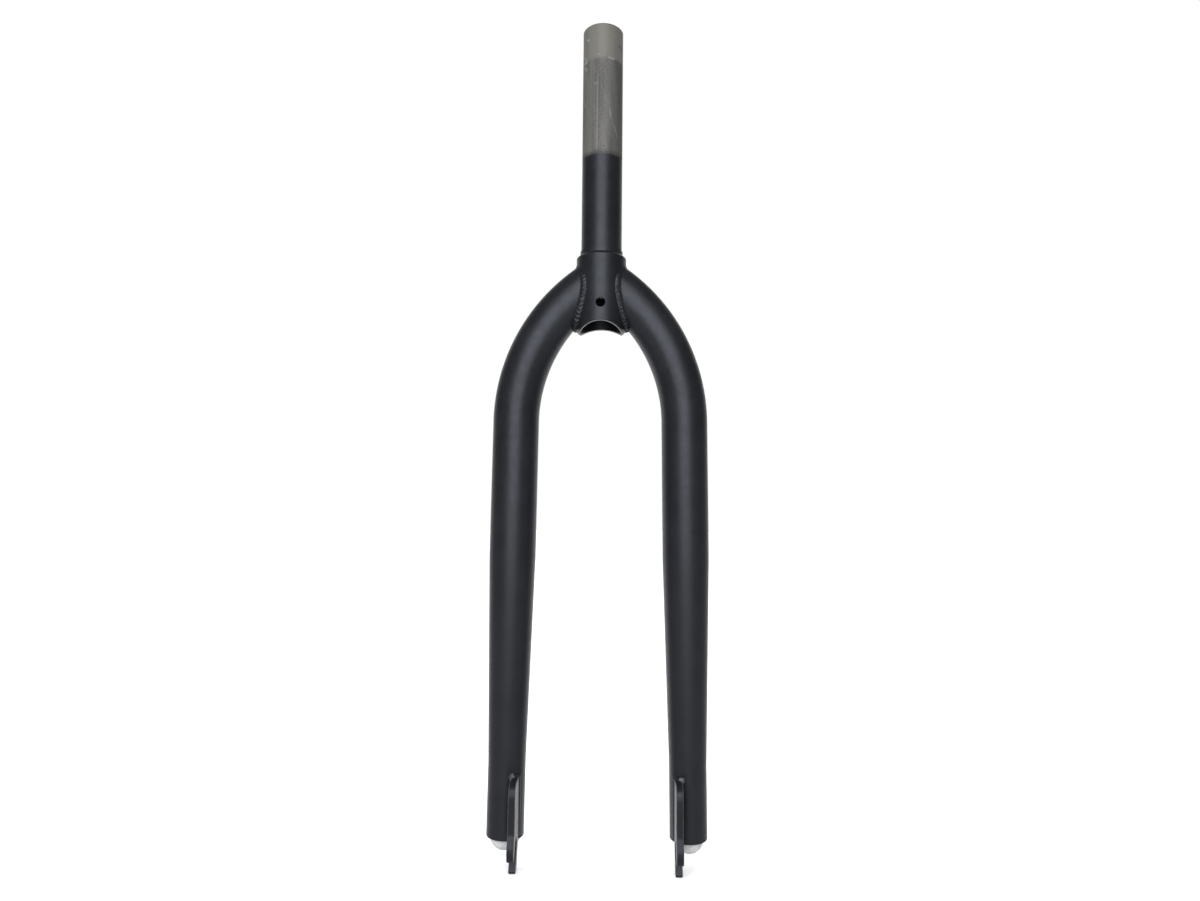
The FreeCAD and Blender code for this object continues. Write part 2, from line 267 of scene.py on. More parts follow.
class Finish(Nodes):
    """Node material being put together round one Principled shader."""

    def __init__(self, name):
        self.material = bpy.data.materials.new(name)
        self.material.use_nodes = True
        super().__init__(self.material.node_tree)
        self.shader = self.tree.nodes["Principled BSDF"]

    def surface(self, **values):
        """Set inputs of the shader by name, with underscores for spaces."""
        for name, value in values.items():
            self.put(self.shader.inputs[name.replace("_", " ")], value)

    def place(self, stretch=(1, 1, 1)):
        """Point of the object, stretched along the axes."""
        coords = self.add("ShaderNodeTexCoord").outputs["Object"]
        if stretch == (1, 1, 1):
            return coords
        return self.add("ShaderNodeMapping", {"Vector": coords, "Scale": stretch}).outputs["Vector"]

    def noise(self, size, detail=3.0, stretch=(1, 1, 1), roughness=0.5):
        """Noise whose lumps are about this many metres across."""
        values = {"Vector": self.place(stretch), "Scale": 1 / size, "Detail": detail, "Roughness": roughness}
        return self.add("ShaderNodeTexNoise", values).outputs["Fac"]

    def mix(self, factor, first, second):
        """Colour between two colours."""
        made = self.add("ShaderNodeMix", data_type="RGBA")
        self.put(made.inputs[0], factor)
        self.put(made.inputs[6], first)
        self.put(made.inputs[7], second)
        return made.outputs[2]

    def distance(self, place, way, start):
        """How far a point lies along a direction from a start."""
        made = self.add("ShaderNodeVectorMath", {0: place, 1: way}, operation="DOT_PRODUCT")
        return self.math("SUBTRACT", made.outputs["Value"], way.dot(start))

    def stroke(self, place, start, end, half_width):
        """Mask of a thin line between two (x, z) points, as seen from the front."""
        first = Vector((start[0], 0, start[1]))
        way = Vector((end[0], 0, end[1])) - first
        run = way.length
        way.normalize()
        along = self.distance(place, way, first)
        across = self.distance(place, Vector((way.z, 0, -way.x)), first)
        line = self.ramp(self.math("ABSOLUTE", across), 0.3 * half_width, half_width, 1.0, 0.0)
        opened = self.ramp(along, 0.0, 0.15 * run)
        closed = self.ramp(along, 0.85 * run, run, 1.0, 0.0)
        return self.math("MULTIPLY", line, self.math("MULTIPLY", opened, closed))

    def bump(self, height, distance, strength=1.0, under=None):
        """Normal of a relief, laid over another normal where one is given."""
        values = {"Height": height, "Distance": distance, "Strength": strength}
        if under is not None:
            values["Normal"] = under
        return self.add("ShaderNodeBump", values).outputs["Normal"]


# Finishes
def rgba(tone, lift=1.0):
    """Colour with full opacity, brightened or darkened."""
    return (tone[0] * lift, tone[1] * lift, tone[2] * lift, 1.0)


def paint_parts(finish, paint):
    """Colour, roughness and normal of the satin paint."""
    cloud = finish.noise(18 * MM, detail=4)
    base = finish.mix(finish.ramp(cloud, 0.3, 0.7), rgba(paint.base, 0.85), rgba(paint.base, 1.2))
    patch = finish.noise(5 * MM, detail=5)
    rough = finish.ramp(patch, 0.3, 0.7, paint.roughness - 0.03, paint.roughness + 0.04)
    grain = finish.noise(paint.grain, detail=2)
    dimples = finish.noise(4 * paint.grain, detail=1)
    normal = finish.bump(grain, 0.03 * MM, 0.6)
    normal = finish.bump(dimples, 0.04 * MM, 0.6, normal)
    return base, rough, normal


def paint_finish(paint, name, sheen=0.5):
    """Satin black paint with a fine grain."""
    finish = Finish(name)
    base, rough, normal = paint_parts(finish, paint)
    finish.surface(
        Base_Color=base,
        Roughness=rough,
        Normal=normal,
        Specular_Tint=rgba(paint.tint),
        Specular_IOR_Level=sheen,
    )
    return finish.material


def plate_finish(paint):
    """Thin satin paint on a plate, lighter along its rounded edges: a painted highlight there, with thin worn
    paint.
    """
    finish = Finish("dropout_paint")
    base, rough, normal = paint_parts(finish, paint)
    facing = finish.add("ShaderNodeNewGeometry").outputs["Normal"]
    sideways = finish.math("ABSOLUTE", finish.add("ShaderNodeSeparateXYZ", {"Vector": facing}).outputs["X"])
    off_front = finish.ramp(sideways, 0.12, 0.4)
    off_side = finish.ramp(sideways, 0.85, 0.98, 1.0, 0.0)
    patchy = finish.ramp(finish.noise(3 * MM, detail=3), 0.3, 0.6, 0.45, 1.0)
    # Painted highlight along the rounded edges, where the paint is also thin and worn.
    edge_highlight_and_wear = finish.math("MULTIPLY", finish.math("MULTIPLY", off_front, off_side), patchy)
    finish.surface(
        Base_Color=finish.mix(edge_highlight_and_wear, base, rgba(paint.edge_highlight_and_wear)),
        Roughness=rough,
        Normal=normal,
        Specular_Tint=rgba(paint.tint),
        Specular_IOR_Level=paint.plate_sheen,
    )
    return finish.material


def steerer_finish(paint, steel):
    """Satin paint below the paint line and bare drawn steel above it."""
    finish = Finish("steerer_paint_and_steel")
    height = finish.add("ShaderNodeSeparateXYZ", {"Vector": finish.place()}).outputs["Z"]
    bare, spray = paint_edge(finish, steel, height)
    paint_base, paint_rough, paint_normal = paint_parts(finish, paint)
    streak = finish.noise(1.3 * MM, detail=5, stretch=(1, 1, 0.02))
    mottle = finish.noise(1.3 * MM, detail=5, roughness=0.8)
    tone = steel_tone(finish, steel, height, streak, mottle)
    tone = finish.mix(spray, tone, rgba(steel.base, 0.22))
    rough = finish.ramp(mottle, 0.2, 0.8, steel.roughness + 0.08, steel.roughness - 0.08)
    normal = finish.bump(streak, 0.02 * MM, 0.6, paint_normal)
    normal = finish.bump(mottle, 0.02 * MM, 0.5, normal)
    finish.surface(
        Base_Color=finish.mix(bare, paint_base, tone),
        Metallic=finish.math("MULTIPLY", bare, 0.3),
        Roughness=finish.math("MULTIPLY_ADD", bare, finish.math("SUBTRACT", rough, paint_rough), paint_rough),
        Normal=normal,
        Specular_Tint=rgba(paint.tint),
    )
    return finish.material


def paint_edge(finish, steel, height):
    """Mask of the bare steel above the ragged paint line, and of the thin spray beyond it."""
    waver = finish.noise(7 * MM, detail=3)
    tooth = finish.noise(1.0 * MM, detail=3)
    edge = finish.math("MULTIPLY_ADD", waver, 2 * steel.paint_ragged, height)
    edge = finish.math("MULTIPLY_ADD", tooth, 1.0 * MM, edge)
    middle = steel.paint_line + steel.paint_ragged + 0.5 * MM
    bare = finish.ramp(edge, middle - 0.8 * MM, middle + 0.8 * MM)
    speck = finish.ramp(finish.noise(0.6 * MM, detail=2), 0.25, 0.7, 0.35, 1.0)
    fade = finish.ramp(edge, middle, middle + 4.5 * MM, 0.9, 0.0)
    return bare, finish.math("MULTIPLY", fade, speck)


def steel_tone(finish, steel, height, streak, mottle):
    """Colour of the bare steel, with its drawn streaks, painted shade on its right side, marks, dark upper
    rim and sawn end.
    """
    split = finish.add("ShaderNodeSeparateXYZ", {"Vector": finish.place()})
    front = finish.ramp(split.outputs["Y"], -6 * MM, -3 * MM, 1.0, 0.0)
    band = finish.noise(6 * MM, detail=3, stretch=(1, 1, 0.12))
    tone = finish.mix(finish.ramp(band, 0.3, 0.7), rgba(steel.base, 0.76), rgba(steel.base, 1.20))
    tone = finish.mix(finish.ramp(streak, 0.42, 0.68, 0.0, 0.45), tone, rgba(steel.base, 1.45))
    tone = finish.mix(finish.ramp(mottle, 0.50, 0.70, 0.0, 0.75), tone, rgba(steel.base, 1.6))
    tone = finish.mix(finish.ramp(mottle, 0.30, 0.47, 0.6, 0.0), tone, rgba(steel.base, 0.55))
    above_ring = finish.ramp(height, steel.ring_height - 1 * MM, steel.ring_height + 2 * MM)
    # Painted shade: the front of the steel below the ring is darker towards its right side.
    right_side_shade = finish.math("MULTIPLY", finish.ramp(split.outputs["X"], 4 * MM, 12 * MM, 0.0, 0.45), front)
    right_side_shade = finish.math("MULTIPLY", right_side_shade, finish.math("SUBTRACT", 1.0, above_ring))
    tone = finish.mix(right_side_shade, tone, rgba(steel.base, 0.5))
    warm = (steel.base[0] * 1.85, steel.base[1] * 1.82, steel.base[2] * 1.70, 1.0)
    tone = finish.mix(finish.math("MULTIPLY", above_ring, 0.6), tone, warm)
    # Start (x, z), end (x, z) and half width in mm, weight and colour of each line
    lines = (
        ((-3.6, 60), (-3.2, 128), 0.6, 0.15, rgba(steel.bright)),
        ((-2.5, 60), (-2.1, 128), 0.7, 0.32, rgba(steel.base, 0.6)),
        ((11.0, 148.0), (13.6, 145.2), 1.1, 0.55, rgba(steel.base, 0.5)),
    )
    for (x0, z0), (x1, z1), half_width, weight, line_tone in lines:
        line = finish.stroke(finish.place(), (x0 * MM, z0 * MM), (x1 * MM, z1 * MM), half_width * MM)
        line = finish.math("MULTIPLY", finish.math("MULTIPLY", line, weight), front)
        tone = finish.mix(line, tone, line_tone)
    marks = rubbed_marks(finish, steel, height, front)
    tone = finish.mix(marks, tone, rgba(steel.bright))
    pits = finish.ramp(finish.noise(1.7 * MM, detail=2), 0.68, 0.74)
    near_paint = finish.ramp(height, steel.paint_line + 3 * MM, steel.paint_line + 22 * MM, 0.8, 0.0)
    tone = finish.mix(finish.math("MULTIPLY", pits, near_paint), tone, rgba(steel.base, 0.35))
    rim = finish.ramp(height, STEERER_TOP - 1.0 * MM, STEERER_TOP - 0.3 * MM, 0.0, 0.8)
    tone = finish.mix(rim, tone, rgba(steel.base, 0.22))
    facing = finish.add("ShaderNodeNewGeometry").outputs["Normal"]
    upwards = finish.add("ShaderNodeSeparateXYZ", {"Vector": facing}).outputs["Z"]
    sawn = finish.mix(finish.ramp(mottle, 0.35, 0.65), rgba(steel.bright, 0.35), rgba(steel.bright, 0.8))
    return finish.mix(finish.ramp(upwards, 0.8, 0.97), tone, sawn)


def rubbed_marks(finish, steel, height, front):
    """Mask of the bright marks on the steel: a part ring, long scratches and small chips."""
    shake_size, shake_reach = 4 * MM, 1.6 * MM
    middle = (0.5, 0.5, 0.5)
    values = {"Vector": finish.place(), "Scale": 1 / shake_size, "Detail": 2.0}
    shake = finish.add("ShaderNodeTexNoise", values)
    moved = finish.add("ShaderNodeVectorMath", {0: shake.outputs["Color"], 1: middle}, operation="SUBTRACT")
    moved = finish.add("ShaderNodeVectorMath", {0: moved.outputs[0], "Scale": shake_reach}, operation="SCALE")
    place = finish.add("ShaderNodeVectorMath", {0: finish.place(), 1: moved.outputs[0]}).outputs[0]
    # Start (x, z), end (x, z) and half width in mm, and weight of each scratch or chip
    strokes = (
        ((1.2, 109.0), (4.6, 101.0), 0.50, 0.22),
        ((4.6, 101.0), (7.2, 91.0), 0.60, 0.34),
        ((7.2, 91.0), (11.0, 78.0), 0.55, 0.26),
        ((2.2, 135.6), (9.0, 136.2), 0.60, 0.75),
        ((-4.5, 138.6), (-2.0, 138.2), 0.50, 0.45),
        ((-12.6, 139.5), (-11.4, 136.5), 0.75, 0.8),
        ((-13.2, 135.0), (-10.2, 135.4), 0.60, 0.8),
        ((-12.8, 133.0), (-11.2, 128.0), 0.70, 0.7),
        ((-11.2, 128.0), (-9.6, 112.0), 0.45, 0.18),
        ((-5.4, 118.0), (-4.4, 116.4), 0.60, 0.5),
        ((-10.9, 152.2), (-9.9, 150.4), 0.80, 0.9),
        ((-13.4, 108.0), (-11.0, 102.0), 0.50, 0.20),
    )
    broken = finish.ramp(finish.noise(1.6 * MM, detail=3), 0.36, 0.60)
    marks = 0.0
    for (x0, z0), (x1, z1), half_width, weight in strokes:
        line = finish.stroke(place, (x0 * MM, z0 * MM), (x1 * MM, z1 * MM), half_width * MM)
        marks = finish.math("MAXIMUM", marks, finish.math("MULTIPLY", line, weight))
    marks = finish.math("MULTIPLY", finish.math("MULTIPLY", marks, broken), front)
    off_ring = finish.math("ABSOLUTE", finish.math("SUBTRACT", height, steel.ring_height))
    ring_line = finish.ramp(off_ring, 0.2 * MM, 0.7 * MM, 0.3, 0.0)
    gaps = finish.ramp(finish.noise(9 * MM, detail=2), 0.50, 0.65)
    return finish.math("MAXIMUM", marks, finish.math("MULTIPLY", ring_line, gaps))


def plug_finish(plug):
    """Milky plastic."""
    finish = Finish("milky_plastic")
    cloud = finish.noise(2.5 * MM, detail=4)
    base = finish.mix(finish.ramp(cloud, 0.3, 0.7), rgba(plug.base, 0.86), rgba(plug.base, 1.06))
    finish.surface(
        Base_Color=base,
        Roughness=finish.ramp(cloud, 0.3, 0.7, 0.42, 0.5),
        Subsurface_Weight=0.3,
        Subsurface_Radius=(0.004, 0.004, 0.0035),
    )
    return finish.material


# Mesh helpers
def new_piece(name, mesh, node, material):
    """Piece that stands for a CAD node, takes the given finish and hides the node."""
    piece = bpy.data.objects.new(name, mesh)
    bpy.context.scene.collection.objects.link(piece)
    mesh.materials.clear()
    mesh.materials.append(material)
    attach(piece, "root")
    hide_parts(node)
    return piece


def dress(node, material):
    """Give a CAD node's own mesh a finish."""
    NODES[node].data.materials.clear()
    NODES[node].data.materials.append(material)


def welded_copy(node):
    """Editable copy of a node's mesh, with corners in the same place joined."""
    build = bmesh.new()
    build.from_mesh(NODES[node].data)
    bmesh.ops.remove_doubles(build, verts=build.verts, dist=SAME_POINT)
    return build


def finished_mesh(name, build):
    """Smooth shaded mesh made from an editable one, which is used up."""
    mesh = bpy.data.meshes.new(name)
    build.to_mesh(mesh)
    build.free()
    mesh.shade_smooth()
    return mesh


def closed_tube(name, verts, count):
    """Mesh of a closed tube from this many rings of corners, with its faces turned outwards."""
    ring = len(verts) // count
    faces = []
    for i in range(count):
        a, b = i * ring, ((i + 1) % count) * ring
        for j in range(ring):
            after = (j + 1) % ring
            faces.append((a + j, a + after, b + after, b + j))
    mesh = bpy.data.meshes.new(name)
    mesh.from_pydata(verts, [], faces)
    build = bmesh.new()
    build.from_mesh(mesh)
    bpy.data.meshes.remove(mesh)
    bmesh.ops.recalc_face_normals(build, faces=build.faces)
    return finished_mesh(name, build)


def moved_mesh(mesh, moves):
    """The mesh with each corner moved by its own step."""
    for vert, move in zip(mesh.vertices, moves):
        vert.co += move
    return mesh


def smooth_step(low, high, value):
    """Smooth step from 0 to 1 between two limits."""
    part = min(1.0, max(0.0, (value - low) / (high - low)))
    return part * part * (3 - 2 * part)


def remeshed(node, voxel, rounds):
    """Closed, evenly meshed copy of a node's mesh, softened a little."""
    carrier = bpy.data.objects.new("carrier", NODES[node].data.copy())
    bpy.context.scene.collection.objects.link(carrier)
    remesh = carrier.modifiers.new("even", "REMESH")
    remesh.mode = "VOXEL"
    remesh.voxel_size = voxel
    soften = carrier.modifiers.new("soften", "SMOOTH")
    soften.iterations = rounds
    soften.factor = 0.5
    graph = bpy.context.evaluated_depsgraph_get()
    mesh = bpy.data.meshes.new_from_object(carrier.evaluated_get(graph))
    bpy.data.objects.remove(carrier)
    mesh.shade_smooth()
    return mesh


def seam_of(leg):
    """Closed seam between a leg and the crown body, as (point, outward direction of the leg) in order."""
    build = welded_copy(leg)
    on_body = {v for v in build.verts if abs(math.hypot(v.co.x, v.co.y) - CROWN_R) < ON_BODY}
    links = {}
    for edge in build.edges:
        if on_body.issuperset(edge.verts):
            walls = [face for face in edge.link_faces if not on_body.issuperset(face.verts)]
            if len(walls) == 1:
                for vert, other in (edge.verts, reversed(edge.verts)):
                    links.setdefault(vert, []).append((other, walls[0].normal))
    loops = []
    while links:
        vert = next(iter(links))
        loop = []
        while vert in links:
            ways = links.pop(vert)
            loop.append((vert.co.copy(), sum((normal for _, normal in ways), Vector()).normalized()))
            vert = next((other for other, _ in ways if other in links), None)
        loops.append(loop)
    build.free()
    return max(loops, key=lambda loop: sum((a[0] - b[0]).length for a, b in zip(loop, loop[1:])))


def even_loop(loop, spacing, rounds):
    """The same closed loop at even spacing, with its corners softened."""
    runs = [(after[0] - before[0]).length for before, after in zip(loop, loop[1:] + loop[:1])]
    total = sum(runs)
    count = round(total / spacing)
    even = []
    index, passed = 0, 0.0
    for step in range(count):
        goal = total * step / count
        while passed + runs[index] < goal:
            passed += runs[index]
            index += 1
        part = (goal - passed) / runs[index]
        before, after = loop[index], loop[(index + 1) % len(loop)]
        even.append((before[0].lerp(after[0], part), before[1].lerp(after[1], part)))
    for _ in range(rounds):
        even = [
            tuple((a + 2 * b + c) / 4 for a, b, c in zip(even[i - 1], even[i], even[(i + 1) % count]))
            for i in range(count)
        ]
    return even, total / count


def bead_feet(root, wall, heading, centre, toes, leg_r):
    """Feet of the bead on the crown body and on the leg, sunk a little into both."""
    out = Vector((root.x, root.y, 0)).normalized()
    body_way = out.cross(heading).normalized()
    body_way *= 1 if body_way.dot(root - centre) > 0 else -1
    leg_way = wall.cross(heading).normalized()
    leg_way *= 1 if leg_way.dot(out) > 0 else -1
    body_foot = root + body_way * toes[0]
    flat = Vector((body_foot.x, body_foot.y, 0))
    body_r = CROWN_R - max(0.0, BEVEL_TOP - body_foot.z)
    body_foot -= flat.normalized() * (flat.length - body_r + BEAD_SINK)
    leg_foot = root + leg_way * toes[1] - wall * (toes[1] ** 2 / (2 * leg_r) + BEAD_SINK)
    return body_foot, leg_foot


def crown_bead(side, weld):
    """Hand-laid bead round the seam of one leg, with crescent ripples and uneven edges."""
    loop, spacing = even_loop(seam_of(side + "_leg"), BEAD_MESH, BEAD_SOFTENING)
    count = len(loop)
    total = count * spacing
    ripples = round(total / weld.pitch)
    centre = sum((point for point, _ in loop), Vector()) / count
    up = max(loop, key=lambda item: item[0].z)[1].normalized()
    leg_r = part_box(side + "_leg")[1].y
    uneven_run, ripple_fade, root_sink = 9 * MM, 6 * MM, 0.1 * MM
    side_seed = 0.4 if side == "left" else 0.9
    verts = []
    for i, (root, wall) in enumerate(loop):
        wall = wall.normalized()
        heading = (loop[(i + 1) % count][0] - loop[i - 1][0]).normalized()
        turn = 2 * math.pi * i / count
        seed = Vector((math.cos(turn), math.sin(turn), side_seed)) * (total / uneven_run)
        top = smooth_step(-weld.smooth - ripple_fade, -weld.smooth, root.z)
        foot = weld.foot + weld.fill * max(0.0, -wall.dot(up)) ** 2
        toes = [foot * (1 + 0.13 * noise.noise(seed * 1.7 + Vector((lane, 0, 0)))) for lane in (2.5, 5.5)]
        body_foot, leg_foot = bead_feet(root, wall, heading, centre, toes, leg_r)
        middle = (body_foot + leg_foot) / 2
        rise = (middle - root).normalized()
        guide = middle.lerp(root, 0.35 + 0.45 * top)
        bulge = weld.bulge * (1 - top) * (1 + 0.25 * noise.noise(seed * 0.8))
        depth = weld.depth * (1 - top) * (1 + 0.5 * noise.noise(seed * 1.3 + Vector((0, 3.0, 0))))
        wander = 0.35 * noise.noise(seed * 0.9 + Vector((0, 11.0, 0)))
        for j in range(BEAD_ACROSS + 1):
            t = j / BEAD_ACROSS
            crown = 4 * t * (1 - t)
            saw = (ripples * i / count + wander + 0.6 * crown) % 1.0
            ripple = depth * crown ** 0.7 * (math.sin(math.pi * saw ** 0.6) - 0.6)
            point = body_foot * (1 - t) ** 2 + guide * (2 * t * (1 - t)) + leg_foot * t ** 2
            verts.append(point + rise * (bulge * crown ** 1.3 + ripple))
        verts.append(root - rise * root_sink)
    return closed_tube(side + "_crown_bead", verts, count)


def dropout_bead(side, weld):
    """Low bead round the upper end of a plate, with soft ripples and a thick uneven start at the front."""
    node = side + "_dropout_weld"
    mesh = remeshed(node, BEAD_MESH, BEAD_SOFTENING)
    low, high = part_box(node)
    facing = Vector((0, -math.cos(weld.start_tilt), math.sin(weld.start_tilt)))
    near_front = (low.y + 6 * MM, low.y + 2 * MM)
    near_top = (high.z - 9 * MM, high.z - 4 * MM)
    reach, lump_size = 4.8 * MM, 2.2 * MM
    ripple, swell, start_lump, start_lift = 0.07 * MM, 0.16 * MM, 0.55 * MM, 0.15 * MM
    side_seed = Vector((4.0 if side == "left" else 9.0, 0, 0))
    start = [v.co for v in mesh.vertices if v.co.y < low.y + reach and v.co.z > high.z - reach]
    level = max(point.dot(facing) for point in start) - weld.start_flat
    moves = []
    for vert in mesh.vertices:
        place = vert.co / lump_size
        run = (vert.co.z + 0.6 * abs(vert.co.x)) / weld.pitch
        wave = math.sin(2 * math.pi * (run + 0.5 * noise.noise(place * 0.5)))
        front = smooth_step(*near_front, vert.co.y) * smooth_step(*near_top, vert.co.z)
        lump = noise.noise(place * 0.7 + side_seed)
        lift = ripple * wave + swell * noise.noise(place * 0.55)
        lift += front * (start_lump * lump + start_lift)
        sunk = max(0.0, vert.co.dot(facing) - level) * front
        moves.append(vert.normal * lift - facing * (0.75 * sunk))
    return moved_mesh(mesh, moves)


def boss_shifts(fronts, plate):
    """How far the front edge of a plate moves back at each cut, from the axle upwards."""
    end = fronts[round(plate.edge_top / PLATE_CUT)]
    boss_y = fronts[0] + plate.boss_r
    meeting = boss_y - math.sqrt(plate.boss_r ** 2 - plate.boss_top ** 2)
    shifts = []
    for index, front in enumerate(fronts):
        height = index * PLATE_CUT
        part = (height - plate.boss_top) / (plate.edge_top - plate.boss_top)
        goal = meeting * (1 - part) + end * part
        if height < plate.boss_top:
            goal = boss_y - math.sqrt(plate.boss_r ** 2 - height ** 2)
        shifts.append(max(0.0, goal - front) if height < plate.edge_top else 0.0)
    for _ in range(PLATE_SOFTENING):
        inner = [(a + 2 * b + c) / 4 for a, b, c in zip(shifts, shifts[1:], shifts[2:])]
        shifts = [shifts[0], *inner, shifts[-1]]
    return shifts


def plate_mesh(side, plate):
    """Plate whose straight front edge runs softly down to a round boss in front of the axle."""
    node = side + "_dropout"
    axle_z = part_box(node)[0].z + plate.axle_rise
    build = welded_copy(node)
    fronts = []
    for index in range(round((plate.edge_top + PLATE_BLEND) / PLATE_CUT) + 1):
        level = axle_z + index * PLATE_CUT
        geometry = [*build.verts, *build.edges, *build.faces]
        bmesh.ops.bisect_plane(
            build, geom=geometry, dist=SAME_POINT, plane_co=(0, 0, level), plane_no=(0, 0, 1)
        )
        fronts.append(min(v.co.y for v in build.verts if abs(v.co.z - level) < 10 * SAME_POINT))
    shifts = boss_shifts(fronts, plate)
    for vert in build.verts:
        index = (vert.co.z - axle_z) / PLATE_CUT
        if 0 < index < len(fronts) - 1:
            below = int(index)
            part = index - below
            front = fronts[below] * (1 - part) + fronts[below + 1] * part
            shift = shifts[below] * (1 - part) + shifts[below + 1] * part
            depth = (vert.co.y - front - plate.edge_depth) / plate.fade
            vert.co.y += shift * (1 - min(1.0, max(0.0, depth)))
    mesh = finished_mesh(node + "_plate", build)
    mesh.set_sharp_from_angle(angle=math.radians(PLATE_CREASE))
    return mesh


def plug_dome(side, plug):
    """Plug with soft creases in its dome, deeper on the left."""
    mesh = remeshed(side + "_leg_plug", PLUG_MESH, PLUG_SOFTENING)
    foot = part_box(side + "_leg")[0].z
    depth = plug.crease * (1.0 if side == "left" else 0.35)
    fold, wrinkle, run_in = 4.5 * MM, 1.8 * MM, 2 * MM
    moves = []
    for vert in mesh.vertices:
        ridge = noise.noise(vert.co / fold) + 0.4 * noise.noise(vert.co / wrinkle)
        crease = max(0.0, 1 - 4 * abs(ridge)) * smooth_step(0.0, run_in, foot - vert.co.z)
        moves.append(vert.normal * (-depth * crease))
    return moved_mesh(mesh, moves)


# Steps
class FORK_OT_steerer(bpy.types.Operator):
    """Finish the steerer and crown body: paint below the paint line, bare steel above it"""

    bl_idname = "fork.steerer"
    bl_label = "Steerer"

    def execute(self, context):
        scene = context.scene
        dress("steerer_tube", steerer_finish(scene.fork_paint, scene.fork_steel))
        return {"FINISHED"}


class FORK_OT_legs(bpy.types.Operator):
    """Paint the two legs"""

    bl_idname = "fork.legs"
    bl_label = "Legs"

    def execute(self, context):
        material = paint_finish(context.scene.fork_paint, "leg_paint")
        for side in SIDES:
            dress(side + "_leg", material)
        return {"FINISHED"}


class FORK_OT_dropouts(bpy.types.Operator):
    """Shape the front edges of the two dropout plates and paint them"""

    bl_idname = "fork.dropouts"
    bl_label = "Dropouts"

    def execute(self, context):
        material = plate_finish(context.scene.fork_paint)
        for side in SIDES:
            node = side + "_dropout"
            mesh = plate_mesh(side, context.scene.fork_plate)
            piece = new_piece(node + "_plate", mesh, node, material)
            even = piece.modifiers.new("even_shading", "WEIGHTED_NORMAL")
            even.keep_sharp = True
        return {"FINISHED"}


class FORK_OT_welds(bpy.types.Operator):
    """Lay the rippled weld beads at the crown and at the plates"""

    bl_idname = "fork.welds"
    bl_label = "Welds"

    def execute(self, context):
        paint = context.scene.fork_paint
        weld = context.scene.fork_weld
        kinds = (
            ("_crown_weld", crown_bead, paint_finish(paint, "crown_weld_paint")),
            ("_dropout_weld", dropout_bead, paint_finish(paint, "dropout_weld_paint", paint.bead_sheen)),
        )
        for side in SIDES:
            for kind, bead, material in kinds:
                new_piece(side + kind + "_bead", bead(side, weld), side + kind, material)
        return {"FINISHED"}


class FORK_OT_plugs(bpy.types.Operator):
    """Finish the plugs in the feet of the legs"""

    bl_idname = "fork.plugs"
    bl_label = "Leg plugs"

    def execute(self, context):
        plug = context.scene.fork_plug
        material = plug_finish(plug)
        for side in SIDES:
            node = side + "_leg_plug"
            new_piece(node + "_dome", plug_dome(side, plug), node, material)
        return {"FINISHED"}


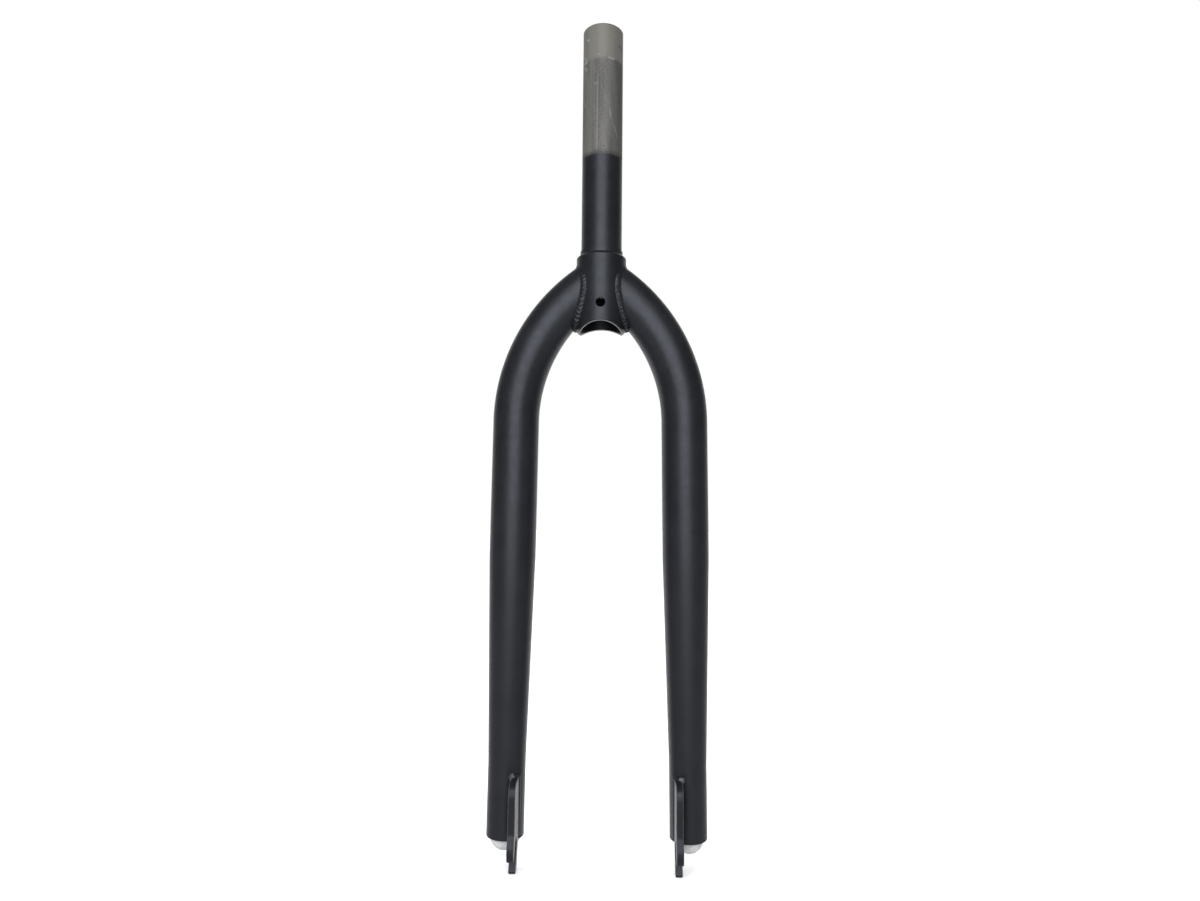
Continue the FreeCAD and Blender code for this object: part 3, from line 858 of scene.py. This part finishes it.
class FORK_OT_stage(bpy.types.Operator):
    """Set the floor, the light and the camera"""

    bl_idname = "fork.stage"
    bl_label = "Stage"

    def execute(self, context):
        scene = context.scene
        stage = scene.fork_stage
        scene.view_settings.view_transform = "Standard"
        self.floor(stage)
        self.studio(scene, stage)
        front_size = (stage.front_width, stage.front_height)
        self.panel("front_panel", stage.front_place, stage.front_aim, front_size, stage.front)
        flank_size = (stage.flank_width, stage.flank_width)
        flank = self.panel("flank_panel", stage.flank_place, stage.flank_aim, flank_size, stage.flank)
        flank.visible_glossy = False
        self.floor_light(stage)
        self.camera(scene, stage)
        return {"FINISHED"}

    def floor(self, stage):
        """Pale floor under the fork, which throws no light on to it."""
        mesh = bpy.data.meshes.new("floor")
        reach = stage.floor_reach
        corners = [(x * reach, y * reach, STANDING_Z) for x, y in ((-1, -1), (1, -1), (1, 1), (-1, 1))]
        mesh.from_pydata(corners, [], [(0, 1, 2, 3)])
        finish = Finish("pale_floor")
        cloud = finish.noise(0.4, detail=2)
        base = finish.mix(cloud, rgba(stage.floor, 0.98), rgba(stage.floor, 1.0))
        finish.surface(Base_Color=base, Roughness=0.8)
        mesh.materials.append(finish.material)
        floor = bpy.data.objects.new("floor", mesh)
        bpy.context.scene.collection.objects.link(floor)
        floor.visible_glossy = False
        floor.visible_diffuse = False

    def studio(self, scene, stage):
        """Surroundings: white behind the fork, grey below it, and dim beside it and above it."""
        world = bpy.data.worlds.new("studio")
        scene.world = world
        world.use_nodes = True
        sheet = Nodes(world.node_tree)
        way = sheet.add("ShaderNodeTexCoord").outputs["Generated"]
        split = sheet.add("ShaderNodeSeparateXYZ", {"Vector": way}).outputs
        left = sheet.math("MINIMUM", split["X"], 0.0)
        behind = sheet.math("MULTIPLY_ADD", left, -stage.left_wrap, split["Y"])
        white_behind = sheet.ramp(behind, 0.42, 0.85, stage.sides, 1.1)
        grey_below = sheet.ramp(split["Z"], -0.4, 0.2, stage.low, 0.0)
        lit, plain = sheet.tree.nodes["Background"], sheet.add("ShaderNodeBackground")
        for background in (lit, plain):
            sheet.put(background.inputs["Color"], rgba((1.0, 1.0, 1.0)))
        sheet.put(lit.inputs["Strength"], sheet.math("ADD", white_behind, grey_below))
        seen = sheet.add("ShaderNodeLightPath").outputs["Is Camera Ray"]
        blend = sheet.add("ShaderNodeMixShader", {0: seen, 1: lit.outputs[0], 2: plain.outputs[0]})
        sheet.put(sheet.tree.nodes["World Output"].inputs["Surface"], blend.outputs[0])

    def floor_light(self, stage):
        """Wide light from straight above that whitens the floor and isn't mirrored in the paint."""
        light = bpy.data.lights.new("floor_light", "SUN")
        light.energy = stage.above
        light.angle = stage.above_spread
        lamp = bpy.data.objects.new("floor_light", light)
        lamp.visible_glossy = False
        bpy.context.scene.collection.objects.link(lamp)

    def panel(self, name, place, aim, size, power):
        """Flat soft light that faces a point."""
        light = bpy.data.lights.new(name, "AREA")
        light.shape = "RECTANGLE"
        light.size, light.size_y = size
        light.energy = power
        lamp = bpy.data.objects.new(name, light)
        bpy.context.scene.collection.objects.link(lamp)
        lamp.location = place
        lamp.rotation_euler = (aim - place).to_track_quat("-Z", "Y").to_euler()
        return lamp

    def camera(self, scene, stage):
        """Camera in front of the fork, a little below its middle, looking slightly up."""
        data = bpy.data.cameras.new("camera")
        data.sensor_width = 36.0
        data.lens = stage.lens
        data.clip_start = 0.01
        camera = bpy.data.objects.new("camera", data)
        scene.collection.objects.link(camera)
        pitch, roll, yaw = stage.camera_turn
        turn = Matrix.Rotation(yaw, 4, "Z") @ Matrix.Rotation(math.pi / 2 + pitch, 4, "X")
        turn = turn @ Matrix.Rotation(roll, 4, "Z")
        camera.matrix_world = Matrix.Translation(stage.camera_place) @ turn
        scene.camera = camera


OPERATORS = (
    FORK_OT_steerer,
    FORK_OT_legs,
    FORK_OT_dropouts,
    FORK_OT_welds,
    FORK_OT_plugs,
    FORK_OT_stage,
)


class FORK_PT_sidebar(bpy.types.Panel):
    """Steps that dress the fork, with their settings"""

    bl_idname = "FORK_PT_sidebar"
    bl_label = "Bicycle Fork"
    bl_space_type = "VIEW_3D"
    bl_region_type = "UI"
    bl_category = "Fork"

    def draw(self, context):
        layout = self.layout
        for operator in OPERATORS:
            layout.operator(operator.bl_idname)
        for name, group in GROUPS.items():
            box = layout.box()
            settings = getattr(context.scene, name)
            for prop in group.__annotations__:
                box.prop(settings, prop)


CLASSES = (*GROUPS.values(), *OPERATORS, FORK_PT_sidebar)


def register():
    for cls in CLASSES:
        bpy.utils.register_class(cls)
    for name, group in GROUPS.items():
        setattr(bpy.types.Scene, name, bpy.props.PointerProperty(type=group))


def unregister():
    for name in GROUPS:
        delattr(bpy.types.Scene, name)
    for cls in reversed(CLASSES):
        bpy.utils.unregister_class(cls)


def main():
    register()
    bpy.ops.fork.steerer()
    bpy.ops.fork.legs()
    bpy.ops.fork.dropouts()
    bpy.ops.fork.welds()
    bpy.ops.fork.plugs()
    bpy.ops.fork.stage()


if __name__ == "__main__":
    main()
